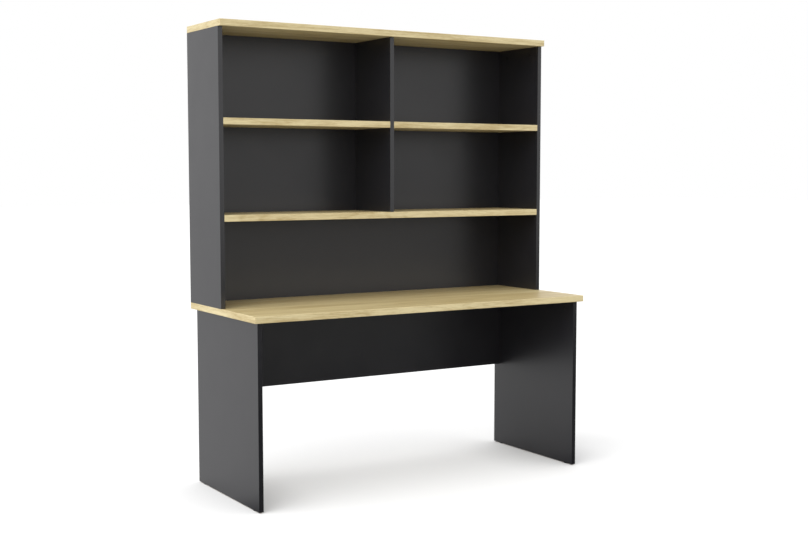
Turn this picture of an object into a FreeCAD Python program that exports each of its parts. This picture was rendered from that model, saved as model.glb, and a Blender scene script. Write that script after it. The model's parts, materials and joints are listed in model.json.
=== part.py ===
import FreeCAD, Part
import os

# Straight office desk with an open hutch standing on its rear half.
# Melamine boards with glued edge bands, held by cam locks, dowels and screws.
# Millimetres. +Z is up and the front faces -Y.
# The origin is on the floor, under the middle of the desk top.

# Boards
PANEL_THICKNESS = 18.0
BACK_THICKNESS = 16.0
OAK_BAND = 2.0
OAK_BAND_ROUND = 1.2
DARK_BAND = 1.0
DARK_BAND_ROUND = 0.6

# Desk
DESK_WIDTH = 1500.0
DESK_DEPTH = 600.0
DESK_HEIGHT = 720.0
DESK_TOP_THICKNESS = 25.0
END_SIDE_INSET = 18.0
END_FRONT_INSET = 20.0
END_REAR_INSET = 20.0
MODESTY_HEIGHT = 330.0
MODESTY_REAR_INSET = 18.0

# Hutch
HUTCH_DEPTH = 300.0
HUTCH_SIDE_HEIGHT = 1050.0
HUTCH_TOP_THICKNESS = 25.0
HUTCH_TOP_OVERHANG = 20.0
SHELF_THICKNESS = 25.0
DESK_BAY_HEIGHT = 327.5
MIDDLE_BAY_HEIGHT = 337.5

# Places of the fittings, measured from the ends of the board that holds them
END_FITTING_INSET = 60.0
HUTCH_FITTING_INSET = 60.0
MODESTY_FITTING_INSET = 60.0
MODESTY_TOP_FITTING_INSET = 300.0
BACK_FITTING_INSET = 200.0

# Clearances
FIT_GAP = 0.1
HOLE_SPARE = 1.0
DRILL_OVERRUN = 1.0
SAME_PLACE = 0.001

# Beech dowels
DOWEL_RADIUS = 4.0
DOWEL_LENGTH = 30.0
DOWEL_IN_FACE = 11.0
DOWEL_CHAMFER = 1.0

# Cam locks, their bolts and their covers
CAM_RADIUS = 7.5
CAM_SETBACK = 34.0
CAM_BELOW_BOLT = 3.5
CAM_SLOT_GAP = 0.4
CAM_CROSS_LENGTH = 8.0
CAM_CROSS_WIDTH = 1.6
CAM_CROSS_DEPTH = 2.0
BOLT_RADIUS = 3.0
BOLT_IN_FACE = 11.0
BOLT_NECK_RADIUS = 2.0
BOLT_NECK_LENGTH = 4.0
BOLT_HEAD_RADIUS = 3.5
BOLT_HEAD_LENGTH = 4.0
BOLT_TIP_CHAMFER = 0.8
COVER_RADIUS = 8.5
COVER_THICKNESS = 1.0
COVER_CHAMFER = 0.5

# Connecting screws through the back panel and through the long shelf
SCREW_HEAD_RADIUS = 5.0
SCREW_HEAD_HEIGHT = 3.0
SCREW_SHANK_RADIUS = 3.5
SCREW_THREAD_RADIUS = 3.0
SCREW_GRIP = 34.0
SCREW_TIP_CHAMFER = 1.5
SOCKET_SIDES = 6
SOCKET_ACROSS_FLATS = 4.0
SOCKET_DEPTH = 2.2

# Slimmer screws up through the desk top into the hutch back
FIXING_HEAD_RADIUS = 4.25
FIXING_HEAD_HEIGHT = 2.8
FIXING_SHANK_RADIUS = 2.5
FIXING_THREAD_RADIUS = 2.2
FIXING_GRIP = 35.0

# Levelling feet in the bottom edges of the end panels
FOOT_RADIUS = 8.5
FOOT_HEIGHT = 4.0
FOOT_CHAMFER = 0.8
FOOT_INSET = 50.0
FOOT_TRAVEL = 10.0
STUD_RADIUS = 4.0
STUD_GAP = 0.05
STUD_IN_FOOT = 2.5
STUD_CHAMFER = 0.8
INSERT_RADIUS = 5.5
INSERT_LENGTH = 20.0

# Planes worked out from the driving dimensions
half_width = DESK_WIDTH / 2
front_y = -DESK_DEPTH / 2
rear_y = DESK_DEPTH / 2
desk_underside = DESK_HEIGHT - DESK_TOP_THICKNESS

end_outer_x = half_width - END_SIDE_INSET
end_inner_x = end_outer_x - PANEL_THICKNESS
end_middle_x = end_outer_x - PANEL_THICKNESS / 2
end_front_y = front_y + END_FRONT_INSET
end_rear_y = rear_y - END_REAR_INSET
end_bottom = FOOT_HEIGHT

modesty_rear_y = end_rear_y - MODESTY_REAR_INSET
modesty_front_y = modesty_rear_y - PANEL_THICKNESS
modesty_middle_y = modesty_rear_y - PANEL_THICKNESS / 2
modesty_bottom = desk_underside - MODESTY_HEIGHT

case_front_y = rear_y - HUTCH_DEPTH
case_inner_x = half_width - PANEL_THICKNESS
case_middle_x = half_width - PANEL_THICKNESS / 2
case_top = DESK_HEIGHT + HUTCH_SIDE_HEIGHT
hutch_height = case_top + HUTCH_TOP_THICKNESS
hutch_top_front_y = case_front_y - HUTCH_TOP_OVERHANG
back_front_y = rear_y - BACK_THICKNESS
back_middle_y = rear_y - BACK_THICKNESS / 2

shank_beyond_seam = CAM_SETBACK - BOLT_HEAD_LENGTH / 2 - BOLT_NECK_LENGTH
cam_rows = (case_front_y + HUTCH_FITTING_INSET, back_front_y - HUTCH_FITTING_INSET)
dowel_row = sum(cam_rows) / 2

divider_x = PANEL_THICKNESS / 2
long_shelf_bottom = DESK_HEIGHT + DESK_BAY_HEIGHT
long_shelf_top = long_shelf_bottom + SHELF_THICKNESS
upper_shelf_bottom = long_shelf_top + MIDDLE_BAY_HEIGHT
upper_shelf_top = upper_shelf_bottom + SHELF_THICKNESS

Vec = FreeCAD.Vector
RIGHT = Vec(1, 0, 0)
LEFT = Vec(-1, 0, 0)
REAR = Vec(0, 1, 0)
FRONT = Vec(0, -1, 0)
UP = Vec(0, 0, 1)
DOWN = Vec(0, 0, -1)
SIDES = {"left": LEFT, "right": RIGHT}

boards = {}
drillings = {}
fittings = {}


def add_board(node, low, high):
    """A board between two corners. Its holes are cut when everything is placed."""
    size = high - low
    boards[node] = Part.makeBox(size.x, size.y, size.z, low)
    drillings[node] = []


def thickness_of(board):
    """A board is thinner than it is long or wide."""
    box = boards[board].BoundBox
    return min(box.XLength, box.YLength, box.ZLength)


def add_fitting(node, solid):
    """One more solid in a node, such as a screw among its like."""
    fittings.setdefault(node, []).append(solid)


def drill(board, radius, mouth, direction, depth):
    """A round hole that starts at the mouth, on the board's surface, and runs inwards."""
    start = mouth - direction * DRILL_OVERRUN
    hole = Part.makeCylinder(radius, depth + DRILL_OVERRUN, start, direction)
    drillings[board].append(hole)


def turned(profile, base, axis):
    """A solid of revolution. The profile lists (distance along the axis, radius) from the base."""
    outline = [Vec(0, 0, profile[0][0])]
    outline += [Vec(radius, 0, distance) for distance, radius in profile]
    outline.append(Vec(0, 0, profile[-1][0]))
    outline.append(outline[0])
    solid = Part.Face(Part.makePolygon(outline)).revolve(Vec(0, 0, 0), UP, 360)
    solid.Placement = FreeCAD.Placement(base, FreeCAD.Rotation(UP, axis))
    return solid


def add_band(node, low, high, outward, rounding, corners=False):
    """A glued edge strip. Its outer long edges are eased, and at a free corner its outer ends too."""
    size = high - low
    strip = Part.makeBox(size.x, size.y, size.z, low)
    outer = max(vertex.Point.dot(outward) for vertex in strip.Vertexes)
    longest = max(edge.Length for edge in strip.Edges)
    eased = []
    for edge in strip.Edges:
        on_outside = all(outer - end.Point.dot(outward) < SAME_PLACE for end in edge.Vertexes)
        is_long = longest - edge.Length < SAME_PLACE
        if on_outside and (is_long or corners):
            eased.append(edge)
    add_fitting(node, strip.makeFillet(rounding, eased))


def add_dowel(node, seam, direction, face_board, edge_board):
    """A dowel across a seam. The direction runs from the face-drilled board into the other's edge."""
    start = seam - direction * DOWEL_IN_FACE
    in_edge = DOWEL_LENGTH - DOWEL_IN_FACE
    end_radius = DOWEL_RADIUS - DOWEL_CHAMFER
    profile = [
        (0, end_radius),
        (DOWEL_CHAMFER, DOWEL_RADIUS),
        (DOWEL_LENGTH - DOWEL_CHAMFER, DOWEL_RADIUS),
        (DOWEL_LENGTH, end_radius),
    ]
    add_fitting(node, turned(profile, start, direction))
    drill(face_board, DOWEL_RADIUS + FIT_GAP, seam, direction * -1, DOWEL_IN_FACE + HOLE_SPARE)
    drill(edge_board, DOWEL_RADIUS + FIT_GAP, seam, direction, in_edge + HOLE_SPARE)


def cam_body(mouth, face, bolt_way, depth):
    """A cam disc sunk from a face, with its bolt slot and the cross that turns it."""
    disc = Part.makeCylinder(CAM_RADIUS, depth, mouth, face * -1)
    bolt_axis = mouth - face * (depth - CAM_BELOW_BOLT)
    slot_start = bolt_axis - bolt_way * (BOLT_HEAD_LENGTH / 2 + CAM_SLOT_GAP)
    slot_length = CAM_RADIUS * 2
    slot = Part.makeCylinder(BOLT_HEAD_RADIUS + CAM_SLOT_GAP, slot_length, slot_start, bolt_way)
    arm = Part.makeBox(CAM_CROSS_LENGTH, CAM_CROSS_WIDTH, CAM_CROSS_DEPTH)
    arm.translate(Vec(-CAM_CROSS_LENGTH / 2, -CAM_CROSS_WIDTH / 2, -CAM_CROSS_DEPTH))
    other_arm = arm.copy()
    other_arm.rotate(Vec(0, 0, 0), UP, 90)
    cross = arm.fuse(other_arm)
    cross.Placement = FreeCAD.Placement(mouth, FreeCAD.Rotation(UP, face))
    return disc.cut([slot, cross])


def add_cam(group, seam, direction, face, holder, cover=None):
    """A cam in the holder's face, with the pocket and the bolt's way drilled for it.

    The seam point is on the holder's edge, at half its thickness.
    The direction points out of that edge.
    """
    bolt_depth = thickness_of(holder) / 2
    mouth = seam - direction * CAM_SETBACK + face * bolt_depth
    depth = bolt_depth + CAM_BELOW_BOLT
    add_fitting(group + "_cam_locks", cam_body(mouth, face, direction, depth))
    drill(holder, CAM_RADIUS + FIT_GAP, mouth, face * -1, depth + FIT_GAP)
    drill(holder, BOLT_HEAD_RADIUS + FIT_GAP, seam, direction * -1, CAM_SETBACK)
    if cover:
        rim = [
            (0, COVER_RADIUS),
            (COVER_THICKNESS - COVER_CHAMFER, COVER_RADIUS),
            (COVER_THICKNESS, COVER_RADIUS - COVER_CHAMFER),
        ]
        add_fitting(cover, turned(rim, mouth, face))


def bolt_head_profile(start):
    """The neck and head of a cam bolt, from the place where its shank ends."""
    neck_end = start + BOLT_NECK_LENGTH
    return [
        (start, BOLT_RADIUS),
        (start, BOLT_NECK_RADIUS),
        (neck_end, BOLT_NECK_RADIUS),
        (neck_end, BOLT_HEAD_RADIUS),
        (neck_end + BOLT_HEAD_LENGTH, BOLT_HEAD_RADIUS),
    ]


def add_cam_joint(group, seam, direction, face, holder, target, cover=None):
    """A cam in one board and its bolt, screwed into the face of the board that it meets."""
    add_cam(group, seam, direction, face, holder, cover)
    tip = [
        (0, BOLT_RADIUS - BOLT_TIP_CHAMFER),
        (BOLT_TIP_CHAMFER, BOLT_RADIUS),
    ]
    profile = tip + bolt_head_profile(BOLT_IN_FACE + shank_beyond_seam)
    base = seam + direction * BOLT_IN_FACE
    add_fitting(group + "_cam_bolts", turned(profile, base, direction * -1))
    drill(target, BOLT_RADIUS + FIT_GAP, seam, direction, BOLT_IN_FACE + HOLE_SPARE)


def add_double_bolt(node, middle, direction, board):
    """A bolt with a head at each end, through a board that has a shelf on both sides."""
    thickness = thickness_of(board)
    mouth = middle - direction * (thickness / 2)
    far_end = bolt_head_profile(thickness / 2 + shank_beyond_seam)
    near_end = [(-distance, radius) for distance, radius in reversed(far_end)]
    add_fitting(node, turned(near_end + far_end, middle, direction))
    drill(board, BOLT_RADIUS + FIT_GAP, mouth, direction, thickness + DRILL_OVERRUN)


def hex_socket(mouth, direction):
    """The hexagonal recess of a screw head, from its mouth along the screw."""
    corner = SOCKET_ACROSS_FLATS / 3 ** 0.5
    turn = FreeCAD.Rotation(UP, 360 / SOCKET_SIDES)
    ring = [Vec(corner, 0, -DRILL_OVERRUN)]
    for _ in range(SOCKET_SIDES):
        ring.append(turn.multVec(ring[-1]))
    prism = Part.Face(Part.makePolygon(ring)).extrude(UP * (SOCKET_DEPTH + DRILL_OVERRUN))
    prism.Placement = FreeCAD.Placement(mouth, FreeCAD.Rotation(UP, direction))
    return prism


def add_screw(node, mouth, direction, through, into, head, shank_radius, thread_radius, grip):
    """A socket screw sunk flush in one board and threaded into the edge of the next."""
    head_radius, head_height = head
    thickness = thickness_of(through)
    length = thickness + grip
    profile = [
        (0, head_radius),
        (head_height, head_radius),
        (head_height, shank_radius),
        (thickness, shank_radius),
        (thickness, thread_radius),
        (length - SCREW_TIP_CHAMFER, thread_radius),
        (length, thread_radius - SCREW_TIP_CHAMFER),
    ]
    screw = turned(profile, mouth, direction).cut(hex_socket(mouth, direction))
    add_fitting(node, screw)
    drill(through, head_radius + FIT_GAP, mouth, direction, head_height)
    drill(through, shank_radius + FIT_GAP, mouth, direction, thickness + DRILL_OVERRUN)
    drill(into, thread_radius + FIT_GAP, mouth + direction * thickness, direction, grip + HOLE_SPARE)


def add_connecting_screw(node, mouth, direction, through, into):
    """The stout screw that holds the shelves and the divider."""
    head = (SCREW_HEAD_RADIUS, SCREW_HEAD_HEIGHT)
    add_screw(node, mouth, direction, through, into, head,
              SCREW_SHANK_RADIUS, SCREW_THREAD_RADIUS, SCREW_GRIP)


def add_banded_top(node, low, high):
    """An oak board with a band on all four edges. The front and rear bands run to the corners."""
    add_board(node, low + Vec(OAK_BAND, OAK_BAND, 0), high - Vec(OAK_BAND, OAK_BAND, 0))
    front_high = Vec(high.x, low.y + OAK_BAND, high.z)
    rear_low = Vec(low.x, high.y - OAK_BAND, low.z)
    add_band(node + "_front_edge", low, front_high, FRONT, OAK_BAND_ROUND, corners=True)
    add_band(node + "_rear_edge", rear_low, high, REAR, OAK_BAND_ROUND, corners=True)
    side_low = Vec(low.x, low.y + OAK_BAND, low.z)
    side_high = Vec(low.x + OAK_BAND, high.y - OAK_BAND, high.z)
    across = Vec(high.x - low.x - OAK_BAND, 0, 0)
    add_band(node + "_left_edge", side_low, side_high, LEFT, OAK_BAND_ROUND)
    add_band(node + "_right_edge", side_low + across, side_high + across, RIGHT, OAK_BAND_ROUND)


def add_banded_upright(node, low, high, rear_band):
    """A dark upright board with a band on its front edge and, where it shows, on its rear edge."""
    band = Vec(0, DARK_BAND, 0)
    board_high = high - band if rear_band else high
    add_board(node, low + band, board_high)
    front_high = Vec(high.x, low.y + DARK_BAND, high.z)
    add_band(node + "_front_edge", low, front_high, FRONT, DARK_BAND_ROUND)
    if rear_band:
        rear_low = Vec(low.x, high.y - DARK_BAND, low.z)
        add_band(node + "_rear_edge", rear_low, high, REAR, DARK_BAND_ROUND)


def add_shelf(node, low, high):
    """An oak shelf with a band on its front edge."""
    add_board(node, low + Vec(0, OAK_BAND, 0), high)
    add_band(node + "_front_edge", low, Vec(high.x, low.y + OAK_BAND, high.z), FRONT, OAK_BAND_ROUND)


def make_desk():
    add_banded_top(
        "desk_top",
        Vec(-half_width, front_y, desk_underside),
        Vec(half_width, rear_y, DESK_HEIGHT),
    )
    for side, outward in SIDES.items():
        low_x = min(outward.x * end_outer_x, outward.x * end_inner_x)
        add_banded_upright(
            side + "_end_panel",
            Vec(low_x, end_front_y, end_bottom),
            Vec(low_x + PANEL_THICKNESS, end_rear_y, desk_underside),
            True,
        )
    modesty_low = Vec(-end_inner_x, modesty_front_y, modesty_bottom)
    modesty_high = Vec(end_inner_x, modesty_rear_y, desk_underside)
    add_board("modesty_panel", modesty_low + Vec(0, 0, DARK_BAND), modesty_high)
    band_high = Vec(modesty_high.x, modesty_high.y, modesty_low.z + DARK_BAND)
    add_band("modesty_panel_bottom_edge", modesty_low, band_high, DOWN, DARK_BAND_ROUND)


def make_hutch():
    for side, outward in SIDES.items():
        low_x = min(outward.x * half_width, outward.x * case_inner_x)
        add_banded_upright(
            "hutch_" + side + "_side",
            Vec(low_x, case_front_y, DESK_HEIGHT),
            Vec(low_x + PANEL_THICKNESS, rear_y, case_top),
            True,
        )
    add_board(
        "hutch_back_panel",
        Vec(-case_inner_x, back_front_y, DESK_HEIGHT),
        Vec(case_inner_x, rear_y, case_top),
    )
    add_shelf(
        "long_shelf",
        Vec(-case_inner_x, case_front_y, long_shelf_bottom),
        Vec(case_inner_x, back_front_y, long_shelf_top),
    )
    add_banded_upright(
        "hutch_divider",
        Vec(-divider_x, case_front_y, long_shelf_top),
        Vec(divider_x, back_front_y, case_top),
        False,
    )
    for side, outward in SIDES.items():
        low_x = min(outward.x * case_inner_x, outward.x * divider_x)
        add_shelf(
            "upper_" + side + "_shelf",
            Vec(low_x, case_front_y, upper_shelf_bottom),
            Vec(low_x + case_inner_x - divider_x, back_front_y, upper_shelf_top),
        )
    add_banded_top(
        "hutch_top",
        Vec(-half_width, hutch_top_front_y, case_top),
        Vec(half_width, rear_y, hutch_height),
    )


def fasten_desk():
    """Cams and dowels between the desk top, the end panels and the modesty panel."""
    end_middle_y = (end_front_y + end_rear_y) / 2
    end_cams = (end_front_y + END_FITTING_INSET, end_middle_y, end_rear_y - END_FITTING_INSET)
    modesty_cams = (modesty_bottom + MODESTY_FITTING_INSET, desk_underside - MODESTY_FITTING_INSET)
    top_cam_x = end_inner_x - MODESTY_TOP_FITTING_INSET
    covers = "desk_cam_covers"
    for side, outward in SIDES.items():
        panel = side + "_end_panel"
        for y in end_cams:
            seam = Vec(outward.x * end_middle_x, y, desk_underside)
            add_cam_joint("desk", seam, UP, outward * -1, panel, "desk_top", covers)
        for near, far in zip(end_cams, end_cams[1:]):
            seam = Vec(outward.x * end_middle_x, (near + far) / 2, desk_underside)
            add_dowel("desk_dowels", seam, DOWN, "desk_top", panel)
        for z in modesty_cams:
            seam = Vec(outward.x * end_inner_x, modesty_middle_y, z)
            add_cam_joint("desk", seam, outward, REAR, "modesty_panel", panel, covers)
        seam = Vec(outward.x * end_inner_x, modesty_middle_y, sum(modesty_cams) / 2)
        add_dowel("desk_dowels", seam, outward * -1, panel, "modesty_panel")
        seam = Vec(outward.x * top_cam_x, modesty_middle_y, desk_underside)
        add_cam_joint("desk", seam, UP, REAR, "modesty_panel", "desk_top", covers)
    seam = Vec(0, modesty_middle_y, desk_underside)
    add_dowel("desk_dowels", seam, DOWN, "desk_top", "modesty_panel")


def fasten_hutch_case():
    """Cams and dowels between the sides, top, back and divider, and dowels into the desk top."""
    covers = "hutch_dark_cam_covers"
    uprights = {
        "hutch_left_side": (-case_middle_x, RIGHT),
        "hutch_right_side": (case_middle_x, LEFT),
        "hutch_divider": (0, RIGHT),
    }
    for upright, (x, face) in uprights.items():
        for y in cam_rows:
            seam = Vec(x, y, case_top)
            add_cam_joint("hutch", seam, UP, face, upright, "hutch_top", covers)
        add_dowel("hutch_dowels", Vec(x, dowel_row, case_top), DOWN, "hutch_top", upright)
    for side, outward in SIDES.items():
        upright = "hutch_" + side + "_side"
        for y in cam_rows:
            seam = Vec(outward.x * case_middle_x, y, DESK_HEIGHT)
            add_dowel("hutch_dowels", seam, UP, "desk_top", upright)
        low_z = DESK_HEIGHT + BACK_FITTING_INSET
        high_z = case_top - BACK_FITTING_INSET
        for z in (low_z, (low_z + high_z) / 2, high_z):
            seam = Vec(outward.x * case_inner_x, back_middle_y, z)
            add_cam_joint("hutch", seam, outward, REAR, "hutch_back_panel", upright)
        seam = Vec(outward.x * (case_inner_x - BACK_FITTING_INSET), back_middle_y, case_top)
        add_cam_joint("hutch", seam, UP, REAR, "hutch_back_panel", "hutch_top")
    add_dowel("hutch_dowels", Vec(0, back_middle_y, case_top), DOWN, "hutch_top", "hutch_back_panel")


def fasten_shelves():
    """Cams under the shelves, double bolts through the divider, and screws from behind and below."""
    long_shelf_z = (long_shelf_bottom + long_shelf_top) / 2
    upper_shelf_z = (upper_shelf_bottom + upper_shelf_top) / 2
    covers = "hutch_oak_cam_covers"
    back = "hutch_back_panel"
    for side, outward in SIDES.items():
        upright = "hutch_" + side + "_side"
        upper_shelf = "upper_" + side + "_shelf"
        for shelf, z in (("long_shelf", long_shelf_z), (upper_shelf, upper_shelf_z)):
            for y in cam_rows:
                seam = Vec(outward.x * case_inner_x, y, z)
                add_cam_joint("hutch", seam, outward, DOWN, shelf, upright, covers)
            seam = Vec(outward.x * case_inner_x, dowel_row, z)
            add_dowel("hutch_dowels", seam, outward * -1, upright, shelf)
        for y in cam_rows:
            seam = Vec(outward.x * divider_x, y, upper_shelf_z)
            add_cam("hutch", seam, outward * -1, DOWN, upper_shelf, covers)
        for x in (divider_x + BACK_FITTING_INSET, case_inner_x - BACK_FITTING_INSET):
            mouth = Vec(outward.x * x, rear_y, upper_shelf_z)
            add_connecting_screw("back_panel_screws", mouth, FRONT, back, upper_shelf)
    for y in cam_rows:
        add_double_bolt("divider_double_bolts", Vec(0, y, upper_shelf_z), RIGHT, "hutch_divider")
        mouth = Vec(0, y, long_shelf_bottom)
        add_connecting_screw("divider_screws", mouth, UP, "long_shelf", "hutch_divider")
    add_dowel("hutch_dowels", Vec(0, dowel_row, long_shelf_top), UP, "long_shelf", "hutch_divider")
    screw_x = case_inner_x - BACK_FITTING_INSET
    for x in (-screw_x, 0, screw_x):
        mouth = Vec(x, rear_y, long_shelf_z)
        add_connecting_screw("back_panel_screws", mouth, FRONT, back, "long_shelf")
    for z in (long_shelf_top + HUTCH_FITTING_INSET, upper_shelf_top + HUTCH_FITTING_INSET):
        mouth = Vec(0, rear_y, z)
        add_connecting_screw("back_panel_screws", mouth, FRONT, back, "hutch_divider")


def fasten_hutch_to_desk():
    """Screws up through the rear of the desk top into the bottom edge of the hutch back."""
    head = (FIXING_HEAD_RADIUS, FIXING_HEAD_HEIGHT)
    for x in (case_inner_x - BACK_FITTING_INSET, divider_x + BACK_FITTING_INSET):
        for side in (-1, 1):
            mouth = Vec(side * x, back_middle_y, desk_underside)
            add_screw("hutch_fixing_screws", mouth, UP, "desk_top", "hutch_back_panel", head,
                      FIXING_SHANK_RADIUS, FIXING_THREAD_RADIUS, FIXING_GRIP)


def make_feet():
    """A threaded insert, a stud and a moulded pad at each end of both end panels."""
    stud_reach = INSERT_LENGTH + FOOT_TRAVEL
    places = {"front": end_front_y + FOOT_INSET, "rear": end_rear_y - FOOT_INSET}
    for side, outward in SIDES.items():
        for end, y in places.items():
            panel = side + "_end_panel"
            foot = end + "_" + side + "_foot"
            seat = Vec(outward.x * end_middle_x, y, end_bottom)
            drill(panel, INSERT_RADIUS + FIT_GAP, seat, UP, INSERT_LENGTH)
            drill(panel, STUD_RADIUS + HOLE_SPARE, seat, UP, stud_reach + HOLE_SPARE)
            sleeve = Part.makeCylinder(INSERT_RADIUS, INSERT_LENGTH, seat, UP)
            bore = Part.makeCylinder(STUD_RADIUS + STUD_GAP, INSERT_LENGTH, seat, UP)
            add_fitting("foot_inserts", sleeve.cut(bore))
            pad_profile = [
                (0, FOOT_RADIUS - FOOT_CHAMFER),
                (FOOT_CHAMFER, FOOT_RADIUS),
                (FOOT_HEIGHT, FOOT_RADIUS),
            ]
            pad = turned(pad_profile, seat + DOWN * FOOT_HEIGHT, UP)
            stud_base = seat + DOWN * STUD_IN_FOOT
            socket = Part.makeCylinder(STUD_RADIUS + STUD_GAP, FOOT_HEIGHT, stud_base, UP)
            add_fitting(foot, pad.cut(socket))
            stud_length = STUD_IN_FOOT + stud_reach
            stud_profile = [
                (0, STUD_RADIUS),
                (stud_length - STUD_CHAMFER, STUD_RADIUS),
                (stud_length, STUD_RADIUS - STUD_CHAMFER),
            ]
            add_fitting(foot + "_stud", turned(stud_profile, stud_base, UP))


def export_pieces():
    """Drills the boards, then writes one file for each node."""
    os.makedirs("parts", exist_ok=True)
    for node, board in boards.items():
        board.cut(drillings[node]).exportStep("parts/" + node + ".step")
    for node, solids in fittings.items():
        shape = solids[0] if len(solids) == 1 else Part.makeCompound(solids)
        shape.exportStep("parts/" + node + ".step")


make_desk()
make_hutch()
fasten_desk()
fasten_hutch_case()
fasten_shelves()
fasten_hutch_to_desk()
make_feet()
export_pieces()
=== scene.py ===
"""Looks of a straight desk with an open hutch: board finishes, turned fittings and a plain stage."""

import json
import math
from collections import namedtuple

import bmesh
import bpy
from bpy.props import FloatProperty, FloatVectorProperty, IntProperty, PointerProperty
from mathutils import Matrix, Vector


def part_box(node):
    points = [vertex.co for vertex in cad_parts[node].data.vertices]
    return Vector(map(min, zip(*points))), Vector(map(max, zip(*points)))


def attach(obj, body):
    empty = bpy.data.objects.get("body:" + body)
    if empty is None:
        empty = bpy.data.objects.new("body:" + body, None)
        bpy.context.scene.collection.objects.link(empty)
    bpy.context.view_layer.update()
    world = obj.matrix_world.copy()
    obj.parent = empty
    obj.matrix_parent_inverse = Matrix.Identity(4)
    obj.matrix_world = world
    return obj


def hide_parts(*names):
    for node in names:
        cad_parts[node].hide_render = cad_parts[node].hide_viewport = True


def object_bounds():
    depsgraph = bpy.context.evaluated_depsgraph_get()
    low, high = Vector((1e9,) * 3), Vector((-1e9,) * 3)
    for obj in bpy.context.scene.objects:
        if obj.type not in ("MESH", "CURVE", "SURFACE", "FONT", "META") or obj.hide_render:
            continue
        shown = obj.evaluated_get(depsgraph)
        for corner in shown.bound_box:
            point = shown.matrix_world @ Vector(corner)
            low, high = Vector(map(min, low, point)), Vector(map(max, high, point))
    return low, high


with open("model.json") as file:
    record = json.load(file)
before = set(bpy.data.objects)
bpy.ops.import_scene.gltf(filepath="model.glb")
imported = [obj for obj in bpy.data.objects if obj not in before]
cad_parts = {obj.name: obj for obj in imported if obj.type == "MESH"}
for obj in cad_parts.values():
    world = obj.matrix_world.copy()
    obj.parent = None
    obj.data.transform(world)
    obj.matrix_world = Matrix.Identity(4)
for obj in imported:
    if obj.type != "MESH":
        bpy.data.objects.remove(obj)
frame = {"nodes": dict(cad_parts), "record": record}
cad_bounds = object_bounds()

bl_info = {
    "name": "Straight desk with hutch",
    "version": (1, 0, 0),
    "blender": (4, 5, 0),
    "location": "3D View > Sidebar > Desk",
    "description": "Finishes the boards, turns the small fittings and sets the stage of a desk with a hutch",
    "category": "Object",
}

MAIN_BODY = "desk"
FEET = ("front_left_foot", "rear_left_foot", "front_right_foot", "rear_right_foot")
slot_of = {part["node"]: part["material_slot"] for part in frame["record"]["subparts"]}

FULL_TURN = 2 * math.pi
SMOOTH_ANGLE = math.radians(35)

# Lengths are metres
MERGE_DISTANCE = 1e-6
END_TOLERANCE = 1e-5
PLACE_DIGITS = 5


def nodes_of(slot):
    """The CAD nodes that take a slot's finish."""
    return [node for node, its_slot in slot_of.items() if its_slot == slot]


def size_of(node):
    low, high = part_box(node)
    return high - low


def thin_axis(node):
    """The axis across a board: 0, 1 or 2 for X, Y or Z."""
    size = list(size_of(node))
    return size.index(min(size))


def long_axis(node):
    """The axis along a band."""
    size = list(size_of(node))
    return size.index(max(size))


# Sizes and colours that a user would change

def colour(name, description, default):
    return FloatVectorProperty(
        name=name, description=description, default=default, min=0.0, max=1.0, size=3, subtype="COLOR"
    )


def positive(name, description, default, lowest=0.0, **kind):
    return FloatProperty(name=name, description=description, default=default, min=lowest, **kind)


def length(name, description, default):
    return positive(name, description, default, unit="LENGTH", precision=5)


def share(name, description, default):
    return positive(name, description, default, subtype="FACTOR")


def angle(name, description, degrees):
    return FloatProperty(name=name, description=description, default=math.radians(degrees), subtype="ANGLE")


class DeskOak(bpy.types.PropertyGroup):
    """The oak print of the tops, the shelves and their bands."""

    light: colour("Light wood", "Early wood between the growth lines", (0.72, 0.61, 0.345))
    dark: colour("Dark wood", "Late wood in the growth lines", (0.49, 0.375, 0.17))
    pore: colour("Pores", "Short open pores along the grain", (0.30, 0.21, 0.10))
    figure: share("Board figure", "Strength of the grain on the boards", 1.0)
    depth: share("Board depth", "How far the boards lean to the dark wood", 0.17)
    band_figure: share("Band figure", "Strength of the grain on the edge bands", 1.3)
    band_paleness: share("Band paleness", "How far the edge bands lean to the light wood", 0.1)
    relief: length("Relief", "Depth of the pressed pores", 0.00006)


class DeskCharcoal(bpy.types.PropertyGroup):
    """The charcoal melamine of the uprights and backs, and its bands and covers."""

    board: colour("Board", "Darker tone of the melamine", (0.0144, 0.0141, 0.017))
    board_light: colour("Board light", "Lighter tone of the melamine", (0.0176, 0.0173, 0.0207))
    band: colour("Band", "Darker tone of the edge bands", (0.0105, 0.0103, 0.0121))
    band_light: colour("Band light", "Lighter tone of the edge bands", (0.014, 0.0138, 0.0158))
    worn: colour("Worn edge", "Rubbed places on rounded edges", (0.06, 0.061, 0.064))
    roughness: share("Roughness", "Middle roughness of the melamine", 0.33)
    ior: positive("IOR", "Index of refraction of the hard resin", 1.6, lowest=1.0)
    band_roughness: share("Band roughness", "Middle roughness of the edge bands", 0.22)
    band_ior: positive("Band IOR", "Index of refraction of the edge bands", 1.63, lowest=1.0)
    sheen_drift: share("Sheen drift", "How far the roughness wanders", 0.02)
    pearls: positive("Pearls", "Pearls to the metre", 1100.0, lowest=1.0)
    relief: length("Relief", "Height of the pearls", 0.00004)


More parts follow.
